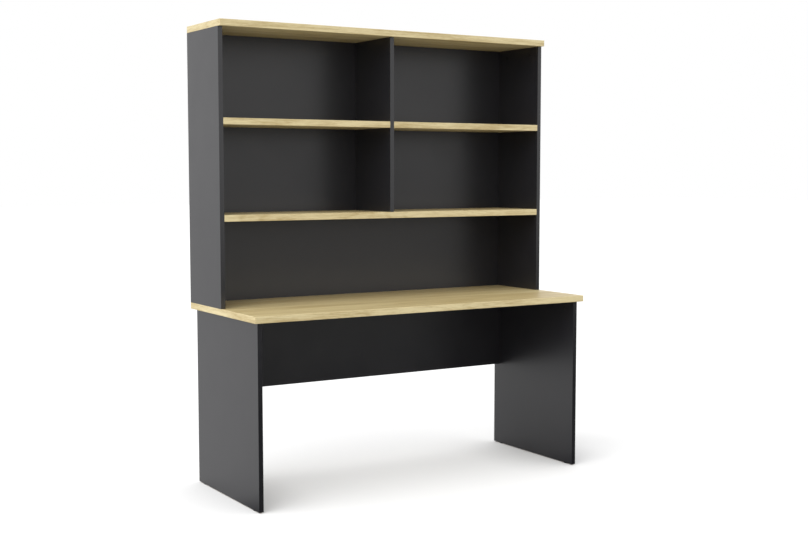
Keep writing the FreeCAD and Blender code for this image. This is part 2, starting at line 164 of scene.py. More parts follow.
class DeskFittings(bpy.types.PropertyGroup):
    """Metal, plastic and wooden fittings."""

    steel: colour("Steel", "Zinc-plated steel", (0.62, 0.61, 0.58))
    steel_dull: colour("Dull steel", "Cloudy patches of the plating", (0.47, 0.46, 0.43))
    zinc: colour("Zinc", "Die-cast zinc", (0.56, 0.56, 0.57))
    zinc_dull: colour("Dull zinc", "Cloudy patches of the casting", (0.40, 0.40, 0.42))
    beech: colour("Beech", "Light beech", (0.66, 0.46, 0.27))
    beech_fleck: colour("Beech fleck", "Darker flecks of beech", (0.50, 0.31, 0.16))
    oak_cover: colour("Oak cover", "Moulded covers under the shelves", (0.62, 0.51, 0.29))
    oak_cover_light: colour("Oak cover light", "Lighter tone of those covers", (0.67, 0.56, 0.33))
    foot: colour("Foot", "Moulded foot pads", (0.012, 0.012, 0.012))
    foot_light: colour("Foot light", "Lighter tone of the pads", (0.018, 0.018, 0.0185))
    socket: length("Socket", "Hexagonal socket across its flats", 0.004)
    socket_depth: length("Socket depth", "Depth of the hexagonal socket", 0.0022)
    flute_depth: length("Flute depth", "Depth of a dowel's flutes", 0.00035)
    rib_depth: length("Rib depth", "Depth of the grip ribs round a foot", 0.0003)
    ease: length("Eased edge", "Chamfer on small edges", 0.0003)
    turn_seed: IntProperty(
        name="Turn seed", description="Seed of each fitting's turn about its axis", default=7
    )


class DeskStage(bpy.types.PropertyGroup):
    """Floor, light and camera."""

    floor: colour("Floor", "Plain pale floor", (0.55, 0.55, 0.55))
    floor_seen: colour("Floor seen", "The lit floor as the camera sees it", (0.65, 0.65, 0.65))
    floor_white: share("Floor white", "White that the camera sees besides", 0.36)
    floor_mirrored: share("Floor mirrored", "How much of that white reflections see", 0.3)
    # Painted dark reflection: reflections see the floor in front of the desk darkened towards black
    painted_dark_front: share("Dark front", "How dark reflections see the floor in front of the desk", 0.95)
    painted_dark_reach: length("Dark reach", "How far forward that dark floor goes", 6.0)
    painted_dark_end: length("Dark end", "Where it has faded out", 15.0)
    # Painted contact shadow: the floor's glow fades within this reach of a piece
    painted_shadow_reach: length("Floor contact", "How near a piece takes the white away", 0.3)
    floor_size: length("Floor size", "Side of the square floor", 80.0)
    sky: share("Sky", "Strength of the even light from all round", 0.85)
    lamp: share("Soft lamp", "Strength of the soft lamp", 2.26)
    lamp_spread: angle("Lamp spread", "Apparent size of the lamp", 70.0)
    lamp_height: angle("Lamp height", "Lamp above the horizon", 43.0)
    lamp_heading: angle("Lamp heading", "Lamp's place, from the front to the left", 72.0)
    camera: FloatVectorProperty(
        name="Camera", description="Where the camera stands", default=(-2.63252, -4.36133, 1.23381),
        size=3, subtype="TRANSLATION",
    )
    camera_heading: angle("Camera heading", "Camera's turn to the right", 31.648)
    camera_pitch: angle("Camera pitch", "Camera's tilt above the horizon", -4.8618)
    lens: positive("Lens", "Focal length in millimetres", 56.148, lowest=1.0, unit="CAMERA")


# Node trees

WHITE = (1.0, 1.0, 1.0)
BLACK = (0.0, 0.0, 0.0)

# A noise: its features to the metre, the range that is spread over 0 to 1, and its weight among others
Pattern = namedtuple("Pattern", "scale detail roughness low high weight", defaults=(2.0, 0.5, 0.3, 0.7, 1.0))


class Field:
    """An output in a node tree, on which plain arithmetic can be done."""

    def __init__(self, nodes, socket):
        self.nodes = nodes
        self.socket = socket

    def __add__(self, other):
        return self.nodes.math("ADD", self, other)

    def __sub__(self, other):
        return self.nodes.math("SUBTRACT", self, other)

    def __rsub__(self, other):
        return self.nodes.math("SUBTRACT", other, self)

    def __mul__(self, other):
        return self.nodes.math("MULTIPLY", self, other)

    def __truediv__(self, other):
        return self.nodes.math("DIVIDE", self, other)


class Nodes:
    """Builds the nodes of one tree."""

    def __init__(self, tree):
        self.tree = tree

    def feed(self, socket, value):
        """Links an output to a socket, or sets the socket to a plain value. A colour gets its alpha."""
        if isinstance(value, Field):
            self.tree.links.new(value.socket, socket)
        else:
            socket.default_value = (*value, 1.0) if socket.type == "RGBA" else value

    def add(self, kind, values=None, **settings):
        """A new node with its settings, and its inputs by name or number."""
        node = self.tree.nodes.new(kind)
        for name, value in settings.items():
            setattr(node, name, value)
        for key, value in (values or {}).items():
            self.feed(node.inputs[key], value)
        return node

    def out(self, node, key):
        return Field(self, node.outputs[key])

    def made(self, kind, values=None, key=0, **settings):
        """An output of a new node, the first one unless a key is given."""
        return self.out(self.add(kind, values, **settings), key)

    def given(self):
        """The tree's own inputs by name."""
        entry = self.add("NodeGroupInput")
        return {socket.name: self.out(entry, socket.name) for socket in entry.outputs if socket.name}

    def math(self, operation, *values):
        return self.made("ShaderNodeMath", dict(enumerate(values)), operation=operation)

    def vector(self, operation, *values):
        return self.made("ShaderNodeVectorMath", dict(enumerate(values)), operation=operation)

    def joined(self, x, y, z):
        return self.made("ShaderNodeCombineXYZ", {0: x, 1: y, 2: z})

    def split(self, vector):
        node = self.add("ShaderNodeSeparateXYZ", {0: vector})
        return [self.out(node, axis) for axis in range(3)]

    def ramp(self, value, low, high, to_low=0.0, to_high=1.0):
        """The value carried from one range to another, held at both ends."""
        return self.made("ShaderNodeMapRange", dict(enumerate((value, low, high, to_low, to_high))))

    def noise(self, vector, look):
        values = {"Vector": vector, "Scale": look.scale, "Detail": look.detail, "Roughness": look.roughness}
        return self.made("ShaderNodeTexNoise", values)

    def pattern(self, vector, look):
        """Noise with its range spread over 0 to 1."""
        return self.ramp(self.noise(vector, look), look.low, look.high)

    def blend(self, mask, first, second):
        """Two colours mixed by a mask. A mix node keeps its colours in sockets 6 and 7."""
        return self.made("ShaderNodeMix", {0: mask, 6: first, 7: second}, 2, data_type="RGBA")


# Shader groups that several finishes share

GRAIN_DRAW = (0.07, 1.0, 1.0)
GRAIN_SWAY = Pattern(6.0, detail=1.0)
SWAY_REACH = (0.05, 0.03)
GRAIN_TONE = Pattern(14.0, detail=1.5, low=0.32, high=0.68, weight=0.6)
GRAIN_STREAKS = Pattern(55.0, detail=3.0, roughness=0.6, weight=0.42)
GRAIN_LINES = Pattern(170.0, roughness=0.6, low=0.42, high=0.66, weight=0.34)
GRAIN_RINGS = Pattern(7.0, detail=0.5, low=0.2, high=1.0, weight=0.2)
RINGS_TO_A_SWELL = 14
GRAIN_FIBRES = Pattern(420.0, weight=0.14)
GRAIN_MIDDLE = 0.8
PORE_DRAW = (0.05, 1.0, 1.0)
GRAIN_PORES = Pattern(1300.0, detail=1.0, low=0.62, high=0.74, weight=0.5)
# Pores thin out to a quarter where growth lines and streaks are faint
PORE_THINNING = (0.4, 1.4, 0.25, 1.0)
FIBRE_HEIGHT = 0.25
GRAIN_ROUGHNESS = (0.36, 0.56)

PEARL_DETAIL = 1.5
SKIN_DRIFT = Pattern(9.0, detail=3.0, roughness=0.6)
RUB_PATCHES = Pattern(38.0, detail=4.0, roughness=0.65, low=0.42, high=0.7)
METAL_CLOUDS = Pattern(260.0, detail=3.0)
METAL_GRIT = Pattern(3200.0)
CHIPS_TO_THE_METRE = 420.0
CHIP_GLUE = Pattern(900.0)
COARSE_SHARE = 0.7

# The part of the normal along an axis, where a face ends and where an edge counts as rounded
FACE_END = (0.8, 0.6)
EDGE_ROUNDED = (0.98, 0.8)


def add_sockets(tree, direction, sockets):
    """New inputs or outputs of a tree, from names and kinds."""
    return [
        tree.interface.new_socket(name, in_out=direction, socket_type="NodeSocket" + kind)
        for name, kind in sockets.items()
    ]


def shader_group(name, inputs, outputs):
    """A new shader group: its nodes, its inputs by name, and a function that fills an output."""
    tree = bpy.data.node_groups.new(name, "ShaderNodeTree")
    add_sockets(tree, "INPUT", inputs)
    add_sockets(tree, "OUTPUT", outputs)
    nodes = Nodes(tree)
    end = nodes.add("NodeGroupOutput")

    def put(socket_name, value):
        nodes.feed(end.inputs[socket_name], value)

    return nodes, nodes.given(), put


def mingled(coarse, fine):
    """A coarse pattern with a little of a fine one in it."""
    return coarse * COARSE_SHARE + fine * (1.0 - COARSE_SHARE)


def make_wood_grain():
    """Wood figure along X: broad tone, streaks, thin lines, growth rings, fibres and open pores."""
    nodes, given, put = shader_group(
        "oak_grain",
        {
            "Vector": "Vector", "Light": "Color", "Dark": "Color", "Pore": "Color",
            "Figure": "Float", "Depth": "Float",
        },
        {"Color": "Color", "Roughness": "Float", "Height": "Float"},
    )
    drawn_out = nodes.vector("MULTIPLY", given["Vector"], GRAIN_DRAW)
    sway = nodes.noise(drawn_out, GRAIN_SWAY) - 0.5
    swayed = nodes.vector("ADD", drawn_out, nodes.joined(0.0, *(sway * reach for reach in SWAY_REACH)))
    tone = nodes.pattern(swayed, GRAIN_TONE)
    streaks = nodes.pattern(swayed, GRAIN_STREAKS)
    lines = nodes.pattern(swayed, GRAIN_LINES)
    contours = nodes.math("SINE", nodes.noise(swayed, GRAIN_RINGS) * (FULL_TURN * RINGS_TO_A_SWELL))
    growth = nodes.ramp(contours, GRAIN_RINGS.low, GRAIN_RINGS.high)
    fibres = nodes.pattern(drawn_out, GRAIN_FIBRES)
    amount = (
        tone * GRAIN_TONE.weight + streaks * GRAIN_STREAKS.weight + lines * GRAIN_LINES.weight
        + growth * GRAIN_RINGS.weight + fibres * GRAIN_FIBRES.weight - GRAIN_MIDDLE
    )
    shade = nodes.ramp(amount * given["Figure"] + given["Depth"], -0.5, 0.5)
    pores = nodes.pattern(nodes.vector("MULTIPLY", given["Vector"], PORE_DRAW), GRAIN_PORES)
    open_pores = pores * nodes.ramp(growth + streaks, *PORE_THINNING)
    wood = nodes.blend(shade, given["Light"], given["Dark"])
    put("Color", nodes.blend(open_pores * GRAIN_PORES.weight, wood, given["Pore"]))
    put("Roughness", nodes.ramp(shade + open_pores, 0.0, 2.0, *GRAIN_ROUGHNESS))
    put("Height", fibres * FIBRE_HEIGHT - open_pores)


def make_pearl_skin():
    """The fine pearled skin of a melamine board or a moulding, and a slow drift of its sheen."""
    nodes, given, put = shader_group(
        "pearl_skin",
        {"Vector": "Vector", "Pearls": "Float", "Smooth": "Float", "Rough": "Float"},
        {"Tone": "Float", "Roughness": "Float", "Height": "Float"},
    )
    pearls = nodes.noise(given["Vector"], Pattern(given["Pearls"], detail=PEARL_DETAIL))
    drift = nodes.noise(given["Vector"], SKIN_DRIFT)
    spread = (SKIN_DRIFT.low, SKIN_DRIFT.high)
    put("Height", pearls)
    put("Tone", nodes.ramp(mingled(drift, pearls), *spread))
    put("Roughness", nodes.ramp(drift, *spread, given["Smooth"], given["Rough"]))


def make_edge_rub():
    """A mask on rounded edges, where the normal leaves the board's axes, broken up as by handling."""
    nodes, given, put = shader_group("edge_rub", {"Vector": "Vector", "Normal": "Vector"}, {"Mask": "Float"})
    x, y, z = nodes.split(nodes.vector("ABSOLUTE", given["Normal"]))
    straight = nodes.math("MAXIMUM", nodes.math("MAXIMUM", x, y), z)
    rounded = nodes.ramp(straight, *EDGE_ROUNDED)
    put("Mask", rounded * nodes.pattern(given["Vector"], RUB_PATCHES))


def make_raw_core():
    """Pressed chips, and a mask of all but the board's two faces, which is where they show."""
    nodes, given, put = shader_group(
        "raw_core",
        {"Vector": "Vector", "Normal": "Vector", "Face axis": "Vector", "Pale": "Color", "Brown": "Color"},
        {"Color": "Color", "Mask": "Float"},
    )
    values = {0: given["Normal"], 1: given["Face axis"]}
    facing = nodes.made("ShaderNodeVectorMath", values, "Value", operation="DOT_PRODUCT")
    values = {"Vector": given["Vector"], "Scale": CHIPS_TO_THE_METRE}
    chip_tone = nodes.split(nodes.made("ShaderNodeTexVoronoi", values, "Color"))[0]
    glue = nodes.noise(given["Vector"], CHIP_GLUE)
    put("Color", nodes.blend(mingled(chip_tone, glue), given["Pale"], given["Brown"]))
    put("Mask", nodes.ramp(nodes.math("ABSOLUTE", facing), *FACE_END))


def make_worked_metal():
    """The faint clouds and fine grit of a cast or plated part."""
    nodes, given, put = shader_group(
        "worked_metal",
        {"Vector": "Vector", "Bright": "Color", "Dull": "Color", "Smooth": "Float", "Rough": "Float"},
        {"Color": "Color", "Roughness": "Float", "Height": "Float"},
    )
    clouds = nodes.pattern(given["Vector"], METAL_CLOUDS)
    grit = nodes.noise(given["Vector"], METAL_GRIT)
    put("Color", nodes.blend(clouds, given["Bright"], given["Dull"]))
    put("Roughness", nodes.ramp(mingled(clouds, grit), 0.0, 1.0, given["Smooth"], given["Rough"]))
    put("Height", grit)


# Finishes

Wear = namedtuple("Wear", "paler smoother")
Plastic = namedtuple("Plastic", "roughness pearls relief ior")
Metal = namedtuple("Metal", "smooth rough relief")

CHIP_PALE = (0.50, 0.36, 0.21)
CHIP_BROWN = (0.24, 0.15, 0.08)
CHIP_ROUGHNESS = 0.9
OAK_WEAR = Wear(0.35, 0.08)
PLASTIC_WEAR = Wear(0.5, 0.06)
PLASTIC_DRIFT = 0.04
COVER_PLASTIC = Plastic(0.42, 2400.0, 0.000008, 1.5)
FOOT_PLASTIC = Plastic(0.5, 1800.0, 0.00001, 1.5)
PLATED = Metal(0.24, 0.42, 0.000006)
CAST = Metal(0.38, 0.6, 0.000015)
# How much finer than on a board the grain is, along and across
BAND_GRAIN = (3.0, 3.0)
BEECH_GRAIN = (6.0, 3.0)
BEECH_FIGURE = 0.8
BEECH_DULLNESS = 0.2
BEECH_RELIEF = 0.00004


class Finish:
    """A material in the making: its nodes, its coordinates, its shader and its output."""

    def __init__(self, name):
        self.material = bpy.data.materials.new(name)
        self.material.use_nodes = True
        self.material.node_tree.nodes.clear()
        self.nodes = Nodes(self.material.node_tree)
        coordinates = self.nodes.add("ShaderNodeTexCoord")
        self.place = self.nodes.out(coordinates, "Object")
        self.normal = self.nodes.out(coordinates, "Normal")
        self.shader = self.nodes.add("ShaderNodeBsdfPrincipled")
        self.surface = self.nodes.out(self.shader, 0)
        self.output = self.nodes.add("ShaderNodeOutputMaterial", {"Surface": self.surface})

    def group(self, name, values):
        """A shared group placed in this material. Gives its outputs by name."""
        node = self.nodes.add("ShaderNodeGroup", values, node_tree=bpy.data.node_groups[name])
        return {socket.name: self.nodes.out(node, socket.name) for socket in node.outputs}

    def drawn_along(self, axis, along, across):
        """Object coordinates scaled and turned, so that a grain along X runs along the axis."""
        scale = [across, across, across]
        scale[axis] = along
        turn = math.pi / 2 if axis == 1 else 0.0
        values = {"Vector": self.place, "Rotation": (0.0, 0.0, turn), "Scale": scale}
        return self.nodes.made("ShaderNodeMapping", values)

    def grain(self, vector, colours, figure, depth=0.0):
        """Wood grain in a light colour, a dark one and one for the pores."""
        light, dark, pore = colours
        return self.group("oak_grain", {
            "Vector": vector, "Light": light, "Dark": dark, "Pore": pore, "Figure": figure, "Depth": depth,
        })

    def skin(self, pearls, roughness, drift):
        return self.group("pearl_skin", {
            "Vector": self.place, "Pearls": pearls, "Smooth": roughness - drift, "Rough": roughness + drift,
        })

    def set(self, **values):
        """Feeds the shader. A space in a socket's name is an underscore here."""
        for key, value in values.items():
            self.nodes.feed(self.shader.inputs[key.replace("_", " ")], value)

    def cored(self, axis, face, roughness):
        """Sets the look of a board's two faces, which lie across the axis, and raw chips elsewhere."""
        face_axis = [0.0, 0.0, 0.0]
        face_axis[axis] = 1.0
        core = self.group("raw_core", {
            "Vector": self.place, "Normal": self.normal, "Face axis": face_axis,
            "Pale": CHIP_PALE, "Brown": CHIP_BROWN,
        })
        self.set(
            Base_Color=self.nodes.blend(core["Mask"], face, core["Color"]),
            Roughness=self.nodes.ramp(core["Mask"], 0.0, 1.0, roughness, CHIP_ROUGHNESS),
        )

    def rubbed(self, tone, worn, roughness, wear):
        """Sets the look of a band or a moulding, with rounded edges rubbed paler and smoother."""
        rub = self.group("edge_rub", {"Vector": self.place, "Normal": self.normal})["Mask"]
        self.set(
            Base_Color=self.nodes.blend(rub * wear.paler, tone, worn),
            Roughness=roughness - rub * wear.smoother,
        )

    def raised(self, height, relief):
        """The finished material, raised by a height of 0 to 1 times the relief."""
        self.set(Normal=self.nodes.made("ShaderNodeBump", {"Height": height, "Distance": relief}))
        return self.material


def oak_board_finish(oak, axis):
    """Oak-print melamine, with raw chips on the edges and in the bores."""
    finish = Finish("oak_melamine")
    grain = finish.grain(finish.place, (oak.light, oak.dark, oak.pore), oak.figure, oak.depth)
    finish.cored(axis, grain["Color"], grain["Roughness"])
    return finish.raised(grain["Height"], oak.relief)


def oak_band_finish(oak, axis):
    """Oak-print edge band, with its grain along the band."""
    finish = Finish("oak_band_along_" + "xyz"[axis])
    along = finish.drawn_along(axis, *BAND_GRAIN)
    grain = finish.grain(along, (oak.light, oak.dark, oak.pore), oak.band_figure, -oak.band_paleness)
    finish.rubbed(grain["Color"], oak.light, grain["Roughness"], OAK_WEAR)
    return finish.raised(grain["Height"], oak.relief)


def charcoal_board_finish(charcoal, axis):
    """Pearled charcoal melamine, with raw chips on the edges and in the bores."""
    finish = Finish("charcoal_melamine_across_" + "xyz"[axis])
    skin = finish.skin(charcoal.pearls, charcoal.roughness, charcoal.sheen_drift)
    face = finish.nodes.blend(skin["Tone"], charcoal.board, charcoal.board_light)
    finish.cored(axis, face, skin["Roughness"])
    finish.set(IOR=charcoal.ior)
    return finish.raised(skin["Height"], charcoal.relief)


def moulded_finish(name, deep, light, worn, plastic):
    """A plastic band or moulding: fine skin, and rounded edges rubbed paler."""
    finish = Finish(name)
    skin = finish.skin(plastic.pearls, plastic.roughness, PLASTIC_DRIFT)
    tone = finish.nodes.blend(skin["Tone"], deep, light)
    finish.rubbed(tone, worn, skin["Roughness"], PLASTIC_WEAR)
    finish.set(IOR=plastic.ior)
    return finish.raised(skin["Height"], plastic.relief)


def charcoal_band_finish(charcoal):
    plastic = Plastic(charcoal.band_roughness, charcoal.pearls, charcoal.relief, charcoal.band_ior)
    return moulded_finish("charcoal_band", charcoal.band, charcoal.band_light, charcoal.worn, plastic)


def charcoal_cover_finish(charcoal):
    return moulded_finish("charcoal_cover", charcoal.band, charcoal.band_light, charcoal.worn, COVER_PLASTIC)


def oak_cover_finish(fittings):
    light = fittings.oak_cover_light
    return moulded_finish("oak_cover", fittings.oak_cover, light, light, COVER_PLASTIC)


def foot_finish(fittings):
    light = fittings.foot_light
    return moulded_finish("black_moulding", fittings.foot, light, light, FOOT_PLASTIC)


def metal_finish(name, bright, dull, metal):
    finish = Finish(name)
    worked = finish.group("worked_metal", {
        "Vector": finish.place, "Bright": bright, "Dull": dull,
        "Smooth": metal.smooth, "Rough": metal.rough,
    })
    finish.set(Base_Color=worked["Color"], Roughness=worked["Roughness"], Metallic=1.0)
    return finish.raised(worked["Height"], metal.relief)


def steel_finish(fittings):
    return metal_finish("plated_steel", fittings.steel, fittings.steel_dull, PLATED)


def zinc_finish(fittings):
    return metal_finish("cast_zinc", fittings.zinc, fittings.zinc_dull, CAST)


def beech_finish(fittings):
    """Plain beech with short fine grain."""
    finish = Finish("beech")
    colours = (fittings.beech, fittings.beech_fleck, fittings.beech_fleck)
    grain = finish.grain(finish.drawn_along(0, *BEECH_GRAIN), colours, BEECH_FIGURE)
    finish.set(Base_Color=grain["Color"], Roughness=grain["Roughness"] + BEECH_DULLNESS)
    return finish.raised(grain["Height"], BEECH_RELIEF)


def dress(nodes, material):
    """Gives CAD nodes a finish through their material slots."""
    for node in nodes:
        for slot in frame["nodes"][node].material_slots:
            slot.material = material


def dress_by_axis(nodes, axis_of, make_finish, look):
    """Gives CAD nodes a finish that is made for their axis, one for all nodes that share it."""
    for axis in sorted({axis_of(node) for node in nodes}):
        dress([node for node in nodes if axis_of(node) == axis], make_finish(look, axis))


# Turned fittings

Fitting = namedtuple("Fitting", "base direction length radius wide_end narrow_end")
Thread = namedtuple("Thread", "start end core crest pitch rows")
Build = namedtuple("Build", "head shank thread pitch")

# Head height, shank radius, thread radius and thread pitch of the two kinds of screw
CONNECTING = Build(0.003, 0.0035, 0.003, 0.0028)
FIXING = Build(0.0028, 0.0025, 0.0022, 0.0022)
# For each node of screws, the board that they pass through and their build
SCREWS = {
    "back_panel_screws": ("hutch_back_panel", CONNECTING),
    "divider_screws": ("long_shelf", CONNECTING),
    "hutch_fixing_screws": ("desk_top", FIXING),
}

SCREW_COLUMNS = 24
SCREW_THREAD_ROWS = 110
SCREW_THREAD_DEPTH = 0.0007
SCREW_TIP = 0.0015
STUD_COLUMNS = 32
STUD_THREAD_ROWS = 190
STUD_THREAD_DEPTH = 0.0006
STUD_PITCH = 0.00125
# How deep a stud sits in its pad, and the room round it there
STUD_SEAT = 0.0025
STUD_GAP = 0.00005
COVER_COLUMNS = 36
FLUTES = 18
RIBS = 24
COLUMNS_TO_A_WAVE = 4

# Shares of a cover's radius, thickness, rim and dish
DISH_RADIUS = 0.72
DISH_DEPTH = 0.25
RIM_BULGE = 0.3
NIB_RADIUS = 0.1
NIB_TAPER = 0.8
NIB_HEIGHT = 0.5

# Shares of a foot pad's base radius, at the mouth and the floor of the recess under it
RECESS_MOUTH = 0.6
RECESS_FLOOR = 0.55


def islands(mesh):
    """The points of each separate solid in a mesh."""
    left = set(mesh.verts)
    found = []
    while left:
        reached = [left.pop()]
        for vertex in reached:
            for edge in vertex.link_edges:
                other = edge.other_vert(vertex)
                if other in left:
                    left.remove(other)
                    reached.append(other)
        found.append([vertex.co.copy() for vertex in reached])
    return found


def end_radius(points, axis, place, middle):
    """How far the points at one end of a turned solid lie from its axis."""
    ring = [point - middle for point in points if abs(point[axis] - place) < END_TOLERANCE]
    for point in ring:
        point[axis] = 0.0
    return max(point.length for point in ring)


def measured(points):
    """A turned solid, measured from its wide end to its narrow end."""
    low = Vector([min(point[axis] for point in points) for axis in range(3)])
    high = Vector([max(point[axis] for point in points) for axis in range(3)])
    size = high - low
    middle = (low + high) / 2
    axis = min(range(3), key=lambda number: abs(size[number - 1] - size[number - 2]))
    radii = [end_radius(points, axis, corner[axis], middle) for corner in (low, high)]
    wide = low if radii[0] >= radii[1] else high
    base = middle.copy()
    base[axis] = wide[axis]
    direction = Vector((0.0, 0.0, 0.0))
    direction[axis] = 1.0 if wide is low else -1.0
    return Fitting(base, direction, size[axis], size[axis - 1] / 2, max(radii), min(radii))


def turned_fittings(node):
    """Every turned solid of a CAD node, in an order that stays the same."""
    merged = bmesh.new()
    merged.from_mesh(frame["nodes"][node].data)
    bmesh.ops.remove_doubles(merged, verts=merged.verts, dist=MERGE_DISTANCE)
    found = [measured(points) for points in islands(merged)]
    merged.free()
    return sorted(found, key=lambda fitting: [round(part, PLACE_DIGITS) for part in fitting.base])


class Lathe:
    """A geometry tree that turns one profile on every place that it is given.

    A grid is wrapped round the axis. Its rows are the stations of the profile, from pole to pole,
    and a thread takes more rows between two of them.
    """

    def __init__(self, name, columns, size_names):
        self.tree = bpy.data.node_groups.new(name, "GeometryNodeTree")
        self.nodes = Nodes(self.tree)
        self.columns = columns
        add_sockets(self.tree, "OUTPUT", {"Geometry": "Geometry"})
        add_sockets(self.tree, "INPUT", {"Places": "Geometry", "Material": "Material", "Turn seed": "Int"})
        for socket in add_sockets(self.tree, "INPUT", dict.fromkeys(size_names, "Float")):
            socket.subtype = "DISTANCE"
        self.given = self.nodes.given()
        self.sizes = [self.given[size_name] for size_name in size_names]
        index = self.nodes.made("GeometryNodeInputIndex")
        row_length = columns + 1
        self.row = self.nodes.math("FLOOR", index / row_length)
        self.turns = self.nodes.math("FLOORED_MODULO", index, row_length) / columns
        self.angle = self.turns * -FULL_TURN

    def wave(self, count):
        """From 0 to 1 and back, that many times round the axis."""
        return self.nodes.math("COSINE", self.angle * count) * 0.5 + 0.5

    def hexagon(self, across_flats):
        """The distance from the axis to the wall of a hexagonal socket."""
        sixth = FULL_TURN / 6
        within = self.nodes.math("FLOORED_MODULO", self.angle, sixth) - sixth / 2
        return across_flats / 2 / self.nodes.math("COSINE", within)

    def picked(self, number, values):
        """One of several values, by the number of its station."""
        switch = self.nodes.add("GeometryNodeIndexSwitch", data_type="FLOAT")
        while len(switch.index_switch_items) < len(values):
            switch.index_switch_items.new()
        self.nodes.feed(switch.inputs["Index"], number)
        for place, value in enumerate(values):
            self.nodes.feed(switch.inputs[place + 1], value)
        return self.nodes.out(switch, 0)

    def threaded(self, before, thread, along, radius):
        """The profile with a helical ridge in the rows after the first stations."""
        nodes = self.nodes
        step = self.row - before
        inside = nodes.math("GREATER_THAN", step, -0.5) * nodes.math("LESS_THAN", step, thread.rows - 0.5)
        span = thread.end - thread.start
        reach = span * (step + 0.5) / thread.rows
        ridge = nodes.math("PINGPONG", reach / thread.pitch + self.turns, 0.5) * 2.0
        run_in = nodes.math("MINIMUM", reach, span - reach) / thread.pitch
        height = ridge * nodes.math("MINIMUM", run_in, 1.0)
        thread_radius = thread.core + (thread.crest - thread.core) * height
        return along + inside * (thread.start + reach - along), radius + inside * (thread_radius - radius)

    def turn(self, before, after=(), thread=None):
        """Closes the tree. The stations are (along, radius), and a thread lies between the two lists."""
        nodes = self.nodes
        stations = [*before, *after]
        extra = thread.rows if thread else 0
        skipped = nodes.math("MINIMUM", nodes.math("MAXIMUM", self.row - len(before), 0.0), float(extra))
        number = self.row - skipped
        along, radius = (self.picked(number, values) for values in zip(*stations))
        if thread:
            along, radius = self.threaded(len(before), thread, along, radius)
        values = {"Vertices X": len(stations) + extra, "Vertices Y": self.columns + 1}
        grid = nodes.made("GeometryNodeMeshGrid", values)
        across, up = (radius * nodes.math(part, self.angle) for part in ("COSINE", "SINE"))
        values = {"Geometry": grid, "Position": nodes.joined(across, up, along)}
        shape = nodes.made("GeometryNodeSetPosition", values)
        values = {"Geometry": shape, "Distance": MERGE_DISTANCE}
        self.repeat(self.smoothed(nodes.made("GeometryNodeMergeByDistance", values)))
        return self.tree

    def smoothed(self, shape):
        """Round stretches shade smoothly and corners stay crisp."""
        nodes = self.nodes
        values = {"Geometry": shape, "Shade Smooth": True}
        soft = nodes.made("GeometryNodeSetShadeSmooth", values, domain="FACE")
        bend = nodes.made("GeometryNodeInputMeshEdgeAngle", key="Unsigned Angle")
        corner = nodes.math("GREATER_THAN", bend, SMOOTH_ANGLE)
        values = {"Geometry": soft, "Selection": corner, "Shade Smooth": False}
        return nodes.made("GeometryNodeSetShadeSmooth", values, domain="EDGE")

    def repeat(self, shape):
        """Sets the shape on every place, along its direction, each with its own turn."""
        nodes = self.nodes
        name = {"Name": "direction"}
        direction = nodes.made("GeometryNodeInputNamedAttribute", name, data_type="FLOAT_VECTOR")
        aligned = nodes.made("FunctionNodeAlignRotationToVector", {"Vector": direction}, axis="Z")
        values = {"Seed": self.given["Turn seed"]}
        spin = nodes.made("FunctionNodeRandomValue", values, 1, data_type="FLOAT") * FULL_TURN
        spin_turn = nodes.made("FunctionNodeEulerToRotation", {"Euler": nodes.joined(0.0, 0.0, spin)})
        values = {"Rotation": aligned, "Rotate By": spin_turn}
        turned = nodes.made("FunctionNodeRotateRotation", values, rotation_space="LOCAL")
        values = {"Points": self.given["Places"], "Instance": shape, "Rotation": turned}
        copies = nodes.made("GeometryNodeInstanceOnPoints", values)
        bare = nodes.made("GeometryNodeRemoveAttribute", {"Geometry": copies, **name})
        solid = nodes.made("GeometryNodeRealizeInstances", {"Geometry": bare})
        values = {"Geometry": solid, "Material": self.given["Material"]}
        nodes.add("NodeGroupOutput", {"Geometry": nodes.made("GeometryNodeSetMaterial", values)})


def screw_tree():
    """A socket screw with a flat head, a plain shank and a threaded end."""
    lathe = Lathe("socket_screw", SCREW_COLUMNS, (
        "Head radius", "Head height", "Shank radius", "Shank end", "Thread radius", "Thread depth", "Pitch",
        "Length", "Tip", "Tip radius", "Socket", "Socket depth", "Ease",
    ))
    (
        head_radius, head_height, shank_radius, shank_end, thread_radius, thread_depth, pitch,
        end, tip_length, tip_radius, socket, socket_depth, ease,
    ) = lathe.sizes
    wall = lathe.hexagon(socket)
    core = thread_radius - thread_depth
    thread_end = end - tip_length
    head = [
        (socket_depth, 0.0), (socket_depth, wall), (0.0, wall),
        (0.0, head_radius - ease), (ease, head_radius), (head_height, head_radius),
        (head_height, shank_radius), (shank_end, shank_radius), (shank_end, core),
    ]
    tip = [(thread_end, core), (end, tip_radius), (end, 0.0)]
    thread = Thread(shank_end, thread_end, core, thread_radius, pitch, SCREW_THREAD_ROWS)
    return lathe.turn(head, tip, thread)


def cover_tree():
    """A push-on cover with an eased rim, a shallow dish and a moulding nib."""
    lathe = Lathe("cam_cover", COVER_COLUMNS, (
        "Radius", "Thickness", "Rim", "Dish depth", "Dish radius", "Nib radius",
    ))
    radius, top, rim, dish_depth, dish_radius, nib_radius = lathe.sizes
    dish = top - dish_depth
    nib = dish + dish_depth * NIB_HEIGHT
    return lathe.turn([
        (0.0, 0.0), (0.0, radius),
        (top - rim, radius), (top - rim * RIM_BULGE, radius - rim * RIM_BULGE), (top, radius - rim),
        (top, dish_radius + dish_depth), (dish, dish_radius),
        (dish, nib_radius), (nib, nib_radius * NIB_TAPER), (nib, 0.0),
    ])


